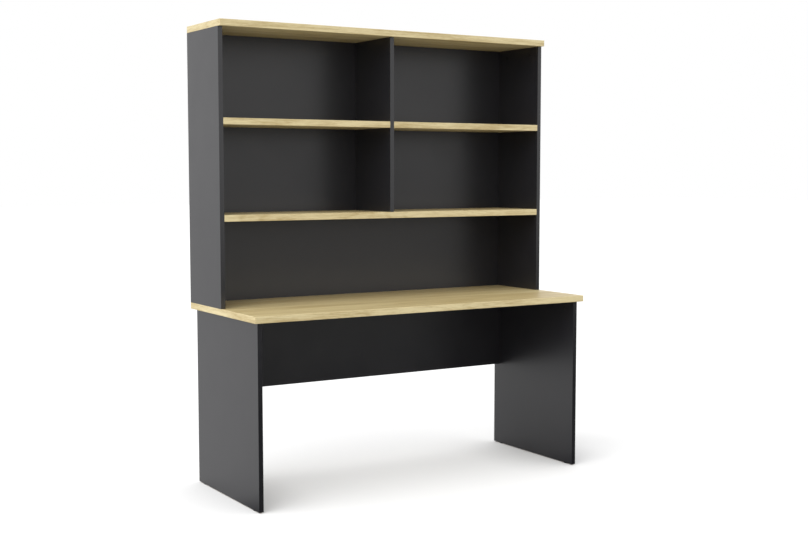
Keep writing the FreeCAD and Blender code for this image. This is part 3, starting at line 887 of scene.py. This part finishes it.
def dowel_tree():
    """A fluted dowel with chamfered ends."""
    lathe = Lathe("fluted_dowel", FLUTES * COLUMNS_TO_A_WAVE, ("Radius", "Length", "Chamfer", "Flute depth"))
    radius, end, chamfer, flute_depth = lathe.sizes
    fluted = radius - flute_depth * lathe.wave(FLUTES)
    tip_radius = radius - chamfer
    return lathe.turn([
        (0.0, 0.0), (0.0, tip_radius), (chamfer, fluted),
        (end - chamfer, fluted), (end, tip_radius), (end, 0.0),
    ])


def stud_tree():
    """A foot's stud: a plain seat in the pad, then a thread to the chamfered end."""
    lathe = Lathe("foot_stud", STUD_COLUMNS, ("Radius", "Length", "Seat", "Thread depth", "Pitch", "Ease"))
    radius, end, seat, thread_depth, pitch, ease = lathe.sizes
    core = radius - thread_depth
    thread_end = end - ease
    plain = [(0.0, 0.0), (0.0, radius), (seat, radius), (seat, core)]
    tip = [(thread_end, core), (end, core - ease), (end, 0.0)]
    return lathe.turn(plain, tip, Thread(seat, thread_end, core, radius, pitch, STUD_THREAD_ROWS))


def pad_tree():
    """A moulded foot pad, from the bottom of its stud's socket to the floor, with grip ribs round it."""
    lathe = Lathe("foot_pad", RIBS * COLUMNS_TO_A_WAVE, (
        "Radius", "Height", "Base radius", "Socket radius", "Socket depth", "Rib depth", "Ease",
    ))
    radius, base, base_radius, socket_radius, socket_depth, rib_depth, ease = lathe.sizes
    ribbed = radius - rib_depth * lathe.wave(RIBS)
    recess = base - ease
    return lathe.turn([
        (socket_depth, 0.0), (socket_depth, socket_radius), (0.0, socket_radius),
        (0.0, radius - rib_depth - ease), (ease, ribbed), (base - ease * 2.0, ribbed), (base, base_radius),
        (base, base_radius * RECESS_MOUTH), (recess, base_radius * RECESS_FLOOR), (recess, 0.0),
    ])


def add_turned(node, turned, tree, material, sizes, seed, body=MAIN_BODY):
    """Turns the fittings of a CAD node and puts them in the node's place, as one plain mesh."""
    cloud = bpy.data.meshes.new(node + "_places")
    cloud.from_pydata([fitting.base for fitting in turned], [], [])
    directions = cloud.attributes.new("direction", "FLOAT_VECTOR", "POINT")
    for item, fitting in zip(directions.data, turned):
        item.vector = fitting.direction
    piece = bpy.data.objects.new("turned_" + node, cloud)
    bpy.context.scene.collection.objects.link(piece)
    values = {"Material": material, "Turn seed": seed, **sizes}
    modifier = piece.modifiers.new(tree.name, "NODES")
    modifier.node_group = tree
    for socket in tree.interface.items_tree:
        if socket.in_out == "INPUT" and socket.name in values:
            modifier[socket.identifier] = values[socket.name]
    evaluated = piece.evaluated_get(bpy.context.evaluated_depsgraph_get())
    mesh = bpy.data.meshes.new_from_object(evaluated)
    piece.modifiers.remove(modifier)
    piece.data = mesh
    bpy.data.meshes.remove(cloud)
    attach(piece, body)
    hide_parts(node)


# Stage

FLOOR_ROUGHNESS = 0.9


def ray_masks(nodes):
    """1 on rays from the camera or through clear things, and 1 on reflected rays."""
    path = nodes.add("ShaderNodeLightPath")
    camera, clear, reflected = (
        nodes.out(path, f"Is {kind} Ray") for kind in ("Camera", "Transmission", "Glossy")
    )
    return nodes.math("MAXIMUM", camera, clear), reflected


def painted_reflection_dark(stage, nodes, place):
    """A painted dark reflection: how dark reflections see the floor. It sets in under the desk and fades out
    far in front.
    """
    forward = 0.0 - nodes.split(place)[1]
    desk_front = -cad_bounds[0][1]
    begin = nodes.ramp(forward, 0.0, desk_front, 0.0, stage.painted_dark_front)
    end = nodes.ramp(forward, stage.painted_dark_end, stage.painted_dark_reach, 0.0, stage.painted_dark_front)
    return nodes.math("MINIMUM", begin, end)


def floor_finish(stage):
    """Matt pale paint, white where the camera sees it. Reflections see a painted dark reflection on it in
    front of the desk, and its glow fades near pieces in a painted contact shadow.

    From underneath it is clear, so that the feet can be seen.
    """
    finish = Finish("pale_floor")
    nodes = finish.nodes
    shown, reflected = ray_masks(nodes)
    dark = painted_reflection_dark(stage, nodes, finish.place)
    white = nodes.math("MAXIMUM", shown, reflected * stage.floor_mirrored * (1.0 - dark))
    # Painted dark reflection: for reflected rays the floor colour fades to black in front of the desk, while
    # other rays see the lit floor
    lit_floor_and_painted_dark = nodes.blend(reflected * dark, stage.floor, BLACK)
    # Painted contact shadow: ambient occlusion takes the floor's glow away near pieces
    painted_contact_shadow = nodes.made("ShaderNodeAmbientOcclusion", {"Distance": stage.painted_shadow_reach}, "AO")
    finish.set(
        Base_Color=nodes.blend(shown, lit_floor_and_painted_dark, stage.floor_seen),
        Roughness=FLOOR_ROUGHNESS,
        Specular_IOR_Level=0.0,
        Emission_Color=WHITE,
        Emission_Strength=white * painted_contact_shadow * stage.floor_white,
    )
    below = nodes.made("ShaderNodeNewGeometry", key="Backfacing")
    clear = nodes.made("ShaderNodeBsdfTransparent")
    mixed = nodes.made("ShaderNodeMixShader", {0: below, 1: finish.surface, 2: clear})
    nodes.feed(finish.output.inputs["Surface"], mixed)
    return finish.material


def add_floor(stage):
    reach = stage.floor_size / 2
    mesh = bpy.data.meshes.new("floor")
    corners = [(-reach, -reach, 0.0), (reach, -reach, 0.0), (reach, reach, 0.0), (-reach, reach, 0.0)]
    mesh.from_pydata(corners, [], [range(len(corners))])
    mesh.materials.append(floor_finish(stage))
    floor = bpy.data.objects.new("floor", mesh)
    bpy.context.scene.collection.objects.link(floor)


def set_world(stage):
    """Even white light. The camera, reflections and clear things see plain white."""
    world = bpy.data.worlds.new("white_surround")
    world.use_nodes = True
    world.node_tree.nodes.clear()
    nodes = Nodes(world.node_tree)
    seen = nodes.math("MAXIMUM", *ray_masks(nodes))
    strength = nodes.ramp(seen, 0.0, 1.0, stage.sky, 1.0)
    background = nodes.made("ShaderNodeBackground", {"Color": WHITE, "Strength": strength})
    nodes.add("ShaderNodeOutputWorld", {"Surface": background})
    bpy.context.scene.world = world


def add_lamp(stage):
    """A broad soft lamp, above and to the left of the front, that reflections don't show."""
    light = bpy.data.lights.new("soft_lamp", "SUN")
    light.energy = stage.lamp
    light.angle = stage.lamp_spread
    lamp = bpy.data.objects.new("soft_lamp", light)
    lamp.rotation_euler = (math.pi / 2 - stage.lamp_height, 0.0, -stage.lamp_heading)
    lamp.visible_glossy = False
    bpy.context.scene.collection.objects.link(lamp)


def add_camera(stage):
    lens = bpy.data.cameras.new("camera")
    lens.sensor_fit = "HORIZONTAL"
    lens.lens = stage.lens
    camera = bpy.data.objects.new("camera", lens)
    camera.location = stage.camera
    camera.rotation_euler = (math.pi / 2 + stage.camera_pitch, 0.0, -stage.camera_heading)
    bpy.context.scene.collection.objects.link(camera)
    bpy.context.scene.camera = camera


# Operators

class DESK_OT_finish_groups(bpy.types.Operator):
    """Build the grain, skin, wear, chip and metal effects that the finishes share"""

    bl_idname = "desk.finish_groups"
    bl_label = "Shared effects"

    def execute(self, context):
        for make in (make_wood_grain, make_pearl_skin, make_edge_rub, make_raw_core, make_worked_metal):
            make()
        return {"FINISHED"}


class DESK_OT_oak_boards(bpy.types.Operator):
    """Finish the desk top, the hutch top, the shelves and their bands in oak"""

    bl_idname = "desk.oak_boards"
    bl_label = "Oak boards"

    def execute(self, context):
        oak = context.scene.desk_oak
        dress_by_axis(nodes_of("oak_board"), thin_axis, oak_board_finish, oak)
        dress_by_axis(nodes_of("oak_band"), long_axis, oak_band_finish, oak)
        return {"FINISHED"}


class DESK_OT_charcoal_boards(bpy.types.Operator):
    """Finish the end panels, the modesty panel, the hutch case and their bands in charcoal"""

    bl_idname = "desk.charcoal_boards"
    bl_label = "Charcoal boards"

    def execute(self, context):
        charcoal = context.scene.desk_charcoal
        dress_by_axis(nodes_of("charcoal_board"), thin_axis, charcoal_board_finish, charcoal)
        dress(nodes_of("charcoal_band"), charcoal_band_finish(charcoal))
        return {"FINISHED"}


class DESK_OT_cams_and_bolts(bpy.types.Operator):
    """Finish the cam locks, their bolts and the foot inserts in metal"""

    bl_idname = "desk.cams_and_bolts"
    bl_label = "Cams and bolts"

    def execute(self, context):
        fittings = context.scene.desk_fittings
        dress(nodes_of("zinc"), zinc_finish(fittings))
        dress(nodes_of("steel"), steel_finish(fittings))
        return {"FINISHED"}


class DESK_OT_screws(bpy.types.Operator):
    """Turn the connecting screws and the fixing screws"""

    bl_idname = "desk.screws"
    bl_label = "Screws"

    def execute(self, context):
        fittings = context.scene.desk_fittings
        tree = screw_tree()
        steel = bpy.data.materials["plated_steel"]
        for node, (board, build) in SCREWS.items():
            screws = turned_fittings(node)
            sizes = {
                "Head radius": screws[0].radius, "Head height": build.head,
                "Shank radius": build.shank, "Shank end": min(size_of(board)),
                "Thread radius": build.thread, "Thread depth": SCREW_THREAD_DEPTH, "Pitch": build.pitch,
                "Length": screws[0].length, "Tip": SCREW_TIP, "Tip radius": screws[0].narrow_end,
                "Socket": fittings.socket, "Socket depth": fittings.socket_depth, "Ease": fittings.ease,
            }
            add_turned(node, screws, tree, steel, sizes, fittings.turn_seed)
        return {"FINISHED"}


class DESK_OT_cam_covers(bpy.types.Operator):
    """Turn the moulded covers of the cam locks"""

    bl_idname = "desk.cam_covers"
    bl_label = "Cam covers"

    def execute(self, context):
        fittings = context.scene.desk_fittings
        finishes = {
            "charcoal_plastic": charcoal_cover_finish(context.scene.desk_charcoal),
            "oak_plastic": oak_cover_finish(fittings),
        }
        tree = cover_tree()
        for slot, finish in finishes.items():
            for node in nodes_of(slot):
                covers = turned_fittings(node)
                radius, thickness = covers[0].radius, covers[0].length
                sizes = {
                    "Radius": radius, "Thickness": thickness, "Rim": radius - covers[0].narrow_end,
                    "Dish depth": thickness * DISH_DEPTH, "Dish radius": radius * DISH_RADIUS,
                    "Nib radius": radius * NIB_RADIUS,
                }
                add_turned(node, covers, tree, finish, sizes, fittings.turn_seed)
        return {"FINISHED"}


class DESK_OT_dowels(bpy.types.Operator):
    """Turn the fluted beech dowels"""

    bl_idname = "desk.dowels"
    bl_label = "Dowels"

    def execute(self, context):
        fittings = context.scene.desk_fittings
        tree = dowel_tree()
        beech = beech_finish(fittings)
        for node in nodes_of("beech"):
            dowels = turned_fittings(node)
            radius = dowels[0].radius
            sizes = {
                "Radius": radius, "Length": dowels[0].length, "Chamfer": radius - dowels[0].wide_end,
                "Flute depth": fittings.flute_depth,
            }
            add_turned(node, dowels, tree, beech, sizes, fittings.turn_seed)
        return {"FINISHED"}


class DESK_OT_feet(bpy.types.Operator):
    """Turn the levelling feet: a ribbed pad and a threaded stud on each foot's own body"""

    bl_idname = "desk.feet"
    bl_label = "Levelling feet"

    def execute(self, context):
        fittings = context.scene.desk_fittings
        black = foot_finish(fittings)
        steel = bpy.data.materials["plated_steel"]
        pad_shape = pad_tree()
        stud_shape = stud_tree()
        for number, foot in enumerate(FEET):
            seed = fittings.turn_seed + number
            pads = turned_fittings(foot)
            studs = turned_fittings(foot + "_stud")
            pad_sizes = {
                "Radius": pads[0].radius, "Height": pads[0].length, "Base radius": pads[0].narrow_end,
                "Socket radius": studs[0].radius + STUD_GAP, "Socket depth": STUD_SEAT,
                "Rib depth": fittings.rib_depth, "Ease": fittings.ease,
            }
            stud_sizes = {
                "Radius": studs[0].radius, "Length": studs[0].length, "Seat": STUD_SEAT,
                "Thread depth": STUD_THREAD_DEPTH, "Pitch": STUD_PITCH, "Ease": fittings.ease,
            }
            add_turned(foot, pads, pad_shape, black, pad_sizes, seed, foot)
            add_turned(foot + "_stud", studs, stud_shape, steel, stud_sizes, seed, foot)
        return {"FINISHED"}


class DESK_OT_stage(bpy.types.Operator):
    """Lay the floor, light the desk and stand the camera at the photograph's place"""

    bl_idname = "desk.stage"
    bl_label = "Stage"

    def execute(self, context):
        stage = context.scene.desk_stage
        context.scene.view_settings.view_transform = "Standard"
        add_floor(stage)
        set_world(stage)
        add_lamp(stage)
        add_camera(stage)
        return {"FINISHED"}


# The add-on

GROUPS = {
    "desk_oak": DeskOak,
    "desk_charcoal": DeskCharcoal,
    "desk_fittings": DeskFittings,
    "desk_stage": DeskStage,
}
STEPS = (
    DESK_OT_finish_groups,
    DESK_OT_oak_boards,
    DESK_OT_charcoal_boards,
    DESK_OT_cams_and_bolts,
    DESK_OT_screws,
    DESK_OT_cam_covers,
    DESK_OT_dowels,
    DESK_OT_feet,
    DESK_OT_stage,
)


class DESK_PT_panel(bpy.types.Panel):
    """The steps and settings of the desk, in the sidebar"""

    bl_idname = "DESK_PT_panel"
    bl_label = "Desk with hutch"
    bl_space_type = "VIEW_3D"
    bl_region_type = "UI"
    bl_category = "Desk"

    def draw(self, context):
        for step in STEPS:
            self.layout.operator(step.bl_idname)
        for attribute, group in GROUPS.items():
            box = self.layout.box()
            for setting in group.__annotations__:
                box.prop(getattr(context.scene, attribute), setting)


def register():
    for attribute, group in GROUPS.items():
        bpy.utils.register_class(group)
        setattr(bpy.types.Scene, attribute, PointerProperty(type=group))
    for made in (*STEPS, DESK_PT_panel):
        bpy.utils.register_class(made)


def unregister():
    for made in reversed((*STEPS, DESK_PT_panel)):
        bpy.utils.unregister_class(made)
    for attribute, group in reversed(GROUPS.items()):
        delattr(bpy.types.Scene, attribute)
        bpy.utils.unregister_class(group)


def main():
    register()
    bpy.ops.desk.finish_groups()
    bpy.ops.desk.oak_boards()
    bpy.ops.desk.charcoal_boards()
    bpy.ops.desk.cams_and_bolts()
    bpy.ops.desk.screws()
    bpy.ops.desk.cam_covers()
    bpy.ops.desk.dowels()
    bpy.ops.desk.feet()
    bpy.ops.desk.stage()


if __name__ == "__main__":
    main()
